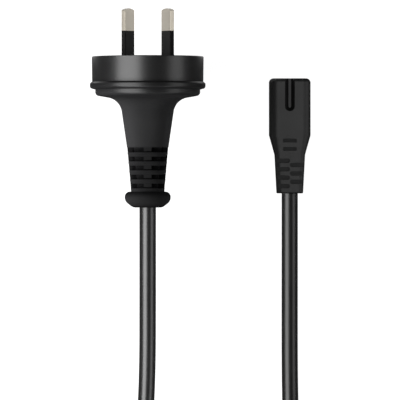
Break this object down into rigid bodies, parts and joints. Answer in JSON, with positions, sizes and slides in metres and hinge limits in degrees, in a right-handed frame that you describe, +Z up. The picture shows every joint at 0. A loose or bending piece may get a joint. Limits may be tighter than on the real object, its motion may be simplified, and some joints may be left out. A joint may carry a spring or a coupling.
{
  "type": "power lead",
  "caption": "Power lead: moulded plug with angled flat blades, round cord wound in a strapped coil, and a figure-eight connector.",
  "frame": {"origin": "on the table, under the middle of the plug and connector taken together, without the cord", "axes": "+Z up from the table, +Y the way the blades and the sockets point, +X from the plug towards the connector"},
  "size_m": [0.0909, 0.2374, 0.0398],
  "materials": {
    "plug_moulding": "satin moulded soft plastic",
    "connector_moulding": "fine-grained moulded soft plastic",
    "cord_sheath": "smooth extruded sheath",
    "blade_metal": "nickel-plated brass",
    "sleeve_plastic": "satin",
    "carrier_plastic": "moulded hard plastic",
    "insert_plastic": "moulded hard plastic",
    "brown_insulation": "extruded",
    "blue_insulation": "extruded",
    "copper": "bare stranded copper",
    "contact_brass": "rolled sheet",
    "strap": "hook-and-loop weave"
  },
  "bodies": {
    "root": {"plug_body": "plug_moulding", "pin_carrier": "carrier_plastic", "active_pin": "blade_metal", "neutral_pin": "blade_metal", "active_pin_sleeve": "sleeve_plastic", "neutral_pin_sleeve": "sleeve_plastic", "plug_active_core": "brown_insulation", "plug_neutral_core": "blue_insulation", "plug_active_strands": "copper", "plug_neutral_strands": "copper", "plug_cord_end": "cord_sheath", "connector_body": "connector_moulding", "contact_insert": "insert_plastic", "active_contact": "contact_brass", "neutral_contact": "contact_brass", "connector_active_core": "brown_insulation", "connector_neutral_core": "blue_insulation", "connector_active_strands": "copper", "connector_neutral_strands": "copper", "connector_cord_end": "cord_sheath", "cord_plug_run": "cord_sheath", "cord_connector_run": "cord_sheath", "cord_coil": "cord_sheath", "cord_tie": "strap"}
  },
  "joints": []
}
